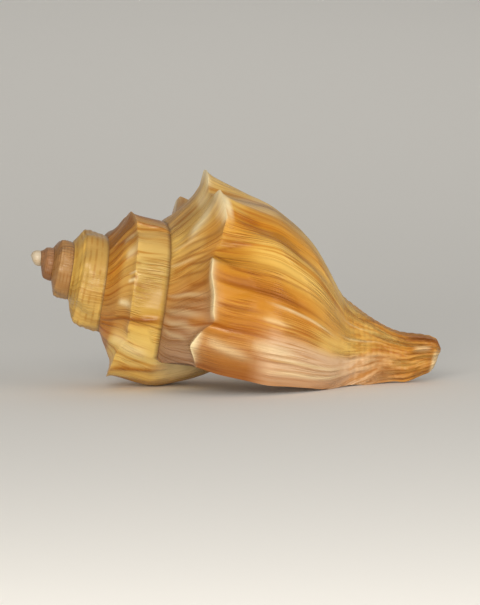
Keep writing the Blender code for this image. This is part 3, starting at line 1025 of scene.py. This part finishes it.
def node(tree, kind, settings, inputs, stops=()):
    """Adds a node with its settings, links or values, and a ramp's stops from 0 on. Gives its outputs."""
    made = tree.nodes.new(kind)
    for name, value in settings.items():
        setattr(made, name, value)
    for place, value in inputs.items():
        if isinstance(value, bpy.types.NodeSocket):
            tree.links.new(value, made.inputs[place])
        else:
            made.inputs[place].default_value = value
    if stops:
        ramp = made.color_ramp.elements
        ramp.remove(ramp[1])
        ramp[0].color = linear(stops[0][1])
        for place, colour in stops[1:]:
            ramp.new(place).color = linear(colour)
    return made.outputs


def streaks(tree, uv, width, length, detail, roughness, shift):
    """Noise drawn out along the growth lines, width by length in millimetres."""
    scale = (LINES_MAP / width, LINES_MAP / length, 1.0)
    placed = {"Vector": uv, "Scale": scale, "Location": (shift, shift, 0.0)}
    spread = node(tree, "ShaderNodeMapping", {}, placed)[0]
    settings = {"Vector": spread, "Scale": 1.0, "Detail": detail, "Roughness": roughness}
    return node(tree, "ShaderNodeTexNoise", {"noise_dimensions": "2D"}, settings)["Fac"]


def growth_lines(tree, along, turns):
    """How strongly growth lines darken a place, softly and crisply, and lighten it. Then their roughness
    and their height. They are worn smooth in places, and weaker on the young turns."""
    broad = streaks(tree, along, *BANDS)
    stripe = streaks(tree, along, *STRIPES)
    fine = streaks(tree, along, *FINE_LINES)
    hair = streaks(tree, along, *HAIRLINES)
    patch = streaks(tree, along, *PATCHES)
    tone = node(tree, "ShaderNodeMath", ADDED, {0: broad, 1: stripe})[0]
    tone = node(tree, "ShaderNodeMath", ADDED, {0: tone, 1: fine})[0]
    deep = node(tree, "ShaderNodeMapRange", SMOOTH, {0: tone, 1: 1.5, 2: 1.95, 3: 0.0, 4: 0.85})[0]
    pale = node(tree, "ShaderNodeMapRange", SMOOTH, {0: tone, 1: 1.5, 2: 1.05, 3: 0.0, 4: 0.5})[0]
    crisp = node(tree, "ShaderNodeMapRange", SMOOTH, {0: hair, 1: 0.54, 2: 0.66, 3: 0.0, 4: 0.7})[0]
    worn = node(tree, "ShaderNodeMapRange", SMOOTH, {0: patch, 1: 0.62, 2: 0.38})[0]
    crisp = node(tree, "ShaderNodeMath", MULTIPLIED_BY, {0: crisp, 1: worn})[0]
    ages = {0: turns, 1: LINES_YOUNG[0], 2: LINES_YOUNG[1], 3: 0.45, 4: 1.0}
    grown_up = node(tree, "ShaderNodeMapRange", {}, ages)[0]
    strengths = [
        node(tree, "ShaderNodeMath", MULTIPLIED_BY, {0: strength, 1: grown_up})[0]
        for strength in (deep, crisp, pale)
    ]
    gloss = node(tree, "ShaderNodeMapRange", {}, {0: fine, 1: 0.35, 2: 0.65, 3: 0.26, 4: 0.42})[0]
    height = node(tree, "ShaderNodeMath", ADDED, {0: fine, 1: hair})[0]
    height = node(tree, "ShaderNodeMath", MULTIPLIED_BY, {0: height, 1: worn})[0]
    return *strengths, gloss, height


def young_grooves(tree, turns, place, blotch):
    """How strongly the young turns are browner between their low spiral cords, where the blotches lie."""
    waves = {0: place, 1: 2.0 * np.pi * TIP / YOUNG_CORD_ROWS}
    waves = node(tree, "ShaderNodeMath", MULTIPLIED_BY, waves)[0]
    cords = node(tree, "ShaderNodeMath", {"operation": "SINE"}, {0: waves})[0]
    grooves = node(tree, "ShaderNodeMapRange", SMOOTH, {0: cords, 1: 0.0, 2: -1.0, 3: 0.0, 4: 0.55})[0]
    browner = node(tree, "ShaderNodeMapRange", SMOOTH, {0: blotch, 1: 0.4, 2: 0.65, 3: 0.1, 4: 1.0})[0]
    ages = {0: turns, 1: CREST_FROM[1] / 360.0, 2: CREST_FROM[0] / 360.0}
    young = node(tree, "ShaderNodeMapRange", SMOOTH, ages)[0]
    for shown in (grooves, young):
        browner = node(tree, "ShaderNodeMath", MULTIPLIED_BY, {0: browner, 1: shown})[0]
    return browner


def canal_spots(tree, place, blotch):
    """How strongly the canal's low spiral cords break the growth lines into dark spots and pale ones."""
    rows = {0: place, 1: SPOT_ROWS[0] / TIP, 2: SPOT_ROWS[1] / TIP}
    on_canal = node(tree, "ShaderNodeMapRange", SMOOTH, rows)[0]
    spots = [
        node(tree, "ShaderNodeMapRange", SMOOTH, {0: blotch, 1: start, 2: end, 3: 0.0, 4: 0.5})[0]
        for start, end in ((0.52, 0.66), (0.48, 0.34))
    ]
    return [node(tree, "ShaderNodeMath", MULTIPLIED_BY, {0: spot, 1: on_canal})[0] for spot in spots]


def outside_material():
    """Whelk shell: aragonite laid down in growth lines, amber and glossy where it is worn smooth."""
    material, tree, principled = start_material("whelk_shell")
    grown = node(tree, "ShaderNodeUVMap", {"uv_map": "grown"}, {})[0]
    along = node(tree, "ShaderNodeUVMap", {"uv_map": "lines"}, {})[0]
    turns, place, _ = node(tree, "ShaderNodeSeparateXYZ", {}, {0: grown})
    under = node(tree, "ShaderNodeVertexColor", {"layer_name": "under_lines"}, {})[0]
    over = node(tree, "ShaderNodeVertexColor", {"layer_name": "over_lines"}, {})[0]
    straw, orange, rose = node(tree, "ShaderNodeSeparateColor", {}, {0: under})
    brown, cream, dark = node(tree, "ShaderNodeSeparateColor", {}, {0: over})
    colour = ground_colour(tree, turns, place)
    # Straw and orange here also carry a few marks of painted light and painted shade
    for strength, tint in ((straw, STRAW_TINT), (orange, ORANGE_TINT), (rose, ROSE_TINT)):
        colour = node(tree, "ShaderNodeMix", COLOURS, {0: strength, 6: colour, 7: linear(tint)})[2]

    # Growth lines, and the spots where spiral cords cross them
    darker = node(tree, "ShaderNodeMix", MULTIPLIED, {0: 1.0, 6: colour, 7: linear(LINE_DARK)})[2]
    lighter = node(tree, "ShaderNodeMix", SCREENED, {0: 1.0, 6: colour, 7: linear(LINE_LIGHT)})[2]
    deep, crisp, pale, gloss, height = growth_lines(tree, along, turns)
    blotch = streaks(tree, along, *BLOTCHES)
    browner = young_grooves(tree, turns, place, blotch)
    dark_spots, pale_spots = canal_spots(tree, place, blotch)
    layers = [(deep, darker), (crisp, darker), (pale, lighter), (browner, darker)]
    layers += [(dark_spots, darker), (pale_spots, lighter)]

    # Over the lines: brown of growth pauses, cream of crests, painted shade of the sutures. The brown and
    # cream lists also hold a few painted shades and highlights
    layers += [(brown, linear(BROWN_TINT)), (cream, linear(CREAM_TINT)), (dark, linear(SUTURE_SHADE_TINT))]
    for strength, layer in layers:
        colour = node(tree, "ShaderNodeMix", COLOURS, {0: strength, 6: colour, 7: layer})[2]
    tree.links.new(colour, principled.inputs["Base Color"])

    # Gloss, duller in the lines, and the lines' own fine relief
    tree.links.new(gloss, principled.inputs["Roughness"])
    bump = node(tree, "ShaderNodeBump", {}, {"Strength": 0.8, "Distance": 0.0003, "Height": height})[0]
    tree.links.new(bump, principled.inputs["Normal"])
    principled.inputs["IOR"].default_value = 1.53
    principled.inputs["Specular IOR Level"].default_value = 0.25
    principled.inputs["Coat Weight"].default_value = 0.05
    principled.inputs["Coat Roughness"].default_value = 0.1
    return material


def ground_colour(tree, turns, place):
    """Ground colour by age, above and below the shoulder, and by place down to the canal."""
    first, last = WALL_COLOURS[0][0], WALL_COLOURS[-1][0]
    age = node(tree, "ShaderNodeMapRange", {}, {0: turns, 1: first / 360.0, 2: last / 360.0})[0]
    grounds = []
    for colours in (RAMP_COLOURS, WALL_COLOURS):
        stops = [((angle - first) / (last - first), colour) for angle, colour in colours]
        grounds.append(node(tree, "ShaderNodeValToRGB", {}, {0: age}, stops)[0])
    rows = {0: place, 1: (SHOULDER + SHOULDER_BLUR) / TIP, 2: (SHOULDER - SHOULDER_BLUR) / TIP}
    on_ramp = node(tree, "ShaderNodeMapRange", SMOOTH, rows)[0]
    ground = node(tree, "ShaderNodeMix", COLOURS, {0: on_ramp, 6: grounds[1], 7: grounds[0]})[2]
    for start, end, most, colour in LOWER_COLOURS:
        rows = {0: place, 1: start / TIP, 2: end / TIP, 3: 0.0, 4: most}
        cover = node(tree, "ShaderNodeMapRange", SMOOTH, rows)[0]
        ground = node(tree, "ShaderNodeMix", COLOURS, {0: cover, 6: ground, 7: linear(colour)})[2]
    return ground


def mouth_material():
    """Glaze inside a whelk's mouth: aragonite laid down smooth, cream at the edge and peach inside."""
    material, tree, principled = start_material("mouth_glaze")
    hollow_map = node(tree, "ShaderNodeUVMap", {"uv_map": "grown"}, {})[0]
    around, deep, _ = node(tree, "ShaderNodeSeparateXYZ", {}, {0: hollow_map})
    body = node(tree, "ShaderNodeTexCoord", {}, {})["Object"]
    clouds = {"Vector": body, "Scale": GLAZE_CLOUDS, "Detail": 2.0}
    clouds = node(tree, "ShaderNodeTexNoise", {}, clouds)["Fac"]
    colour = node(tree, "ShaderNodeValToRGB", {}, {0: deep}, MOUTH_COLOURS)[0]
    milky = node(tree, "ShaderNodeMapRange", SMOOTH, {0: clouds, 1: 0.4, 2: 0.7, 3: 0.0, 4: 0.5})[0]
    colour = node(tree, "ShaderNodeMix", COLOURS, {0: milky, 6: colour, 7: linear(GLAZE_MILKY)})[2]

    # Low spiral threads under the glaze, a shade darker
    place = node(tree, "ShaderNodeCombineXYZ", {}, {0: around, 1: 0.0, 2: 0.0})[0]
    threads = {"Vector": place, "Scale": GLAZE_THREADS, "Detail": 1.0}
    threads = node(tree, "ShaderNodeTexNoise", {"noise_dimensions": "2D"}, threads)["Fac"]
    shown = node(tree, "ShaderNodeMapRange", SMOOTH, {0: threads, 1: 0.45, 2: 0.65, 3: 0.0, 4: 0.35})[0]
    darker = node(tree, "ShaderNodeMix", MULTIPLIED, {0: 1.0, 6: colour, 7: linear(GLAZE_THREAD)})[2]
    colour = node(tree, "ShaderNodeMix", COLOURS, {0: shown, 6: colour, 7: darker})[2]
    tree.links.new(colour, principled.inputs["Base Color"])
    relief_of_threads = {"Strength": 0.3, "Distance": 0.0002, "Height": threads}
    tree.links.new(node(tree, "ShaderNodeBump", {}, relief_of_threads)[0], principled.inputs["Normal"])
    principled.inputs["Roughness"].default_value = 0.18
    principled.inputs["IOR"].default_value = 1.53
    principled.inputs["Coat Weight"].default_value = 0.2
    return material


def shell_piece():
    shell = whole_form()
    shell.data.materials.append(outside_material())
    shell.data.materials.append(mouth_material())
    growths = np.arange(LIP + MOUTH_RUNOUT, LIP - CHAMBER_TURN, -CHAMBER_STEP)
    carve(shell, hollow("chamber", [chamber_loop(growth) for growth in growths], (0.0, 1.0)))
    places = np.arange(CANAL[0, 0], CANAL[-1, 0] + 0.1, CANAL_STEP)
    carve(shell, hollow("canal", [canal_loop(along) for along in places], CANAL_DEPTHS))
    write_pigment(shell)
    deselect()
    shell.select_set(True)
    bpy.context.view_layer.objects.active = shell
    bpy.ops.object.shade_smooth_by_angle(angle=np.radians(SMOOTH_ANGLE))
    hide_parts("shell")
    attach(shell, "root")


def table_top():
    """A pale sheet of card, flat under the shell and curving up far behind it."""
    deselect()
    across, deep = FLOOR_FACES
    bpy.ops.mesh.primitive_grid_add(x_subdivisions=across, y_subdivisions=deep, size=FLOOR_SIZE)
    floor = bpy.context.object
    floor.name = "floor"
    for corner in floor.data.vertices:
        rise = max(0.0, corner.co.y - FLOOR_FLAT)
        corner.co.z = rise * rise * FLOOR_CURVE
    floor.data.shade_smooth()
    material, _, principled = start_material("pale_card")
    principled.inputs["Base Color"].default_value = linear("#F1F0EE")
    principled.inputs["Roughness"].default_value = 0.8
    floor.data.materials.append(material)


def camera():
    data = bpy.data.cameras.new("view")
    data.lens = LENS
    data.sensor_width = SENSOR
    data.sensor_fit = "AUTO"
    thing = bpy.data.objects.new("view", data)
    bpy.context.scene.collection.objects.link(thing)
    back = Vector(VIEW_FROM).normalized()
    right = Vector(PICTURE_RIGHT)
    right = (right - right.dot(back) * back).normalized()
    up = back.cross(right)
    distance = PICTURE_HEIGHT / PIXELS_PER_MM / 1000.0 * LENS / SENSOR
    turn = Matrix((right, up, back)).transposed()
    thing.matrix_world = Matrix.Translation(Vector(AIM) + back * distance) @ turn.to_4x4()
    bpy.context.scene.camera = thing


def soft_light(name, place, toward, size, power, colour):
    data = bpy.data.lights.new(name, "AREA")
    data.size = size
    data.energy = power
    data.color = linear(colour)[:3]
    thing = bpy.data.objects.new(name, data)
    bpy.context.scene.collection.objects.link(thing)
    thing.location = place
    thing.rotation_mode = "QUATERNION"
    thing.rotation_quaternion = (Vector(toward) - Vector(place)).to_track_quat("-Z", "Y")


def lights():
    for light in LIGHTS:
        soft_light(*light)
    world = bpy.data.worlds.new("studio")
    bpy.context.scene.world = world
    world.use_nodes = True
    sky = world.node_tree.nodes["Background"]
    sky.inputs["Color"].default_value = linear(WORLD_COLOUR)
    sky.inputs["Strength"].default_value = WORLD_STRENGTH


def main():
    bpy.context.scene.view_settings.view_transform = "Standard"
    camera()
    lights()
    table_top()
    shell_piece()


main()
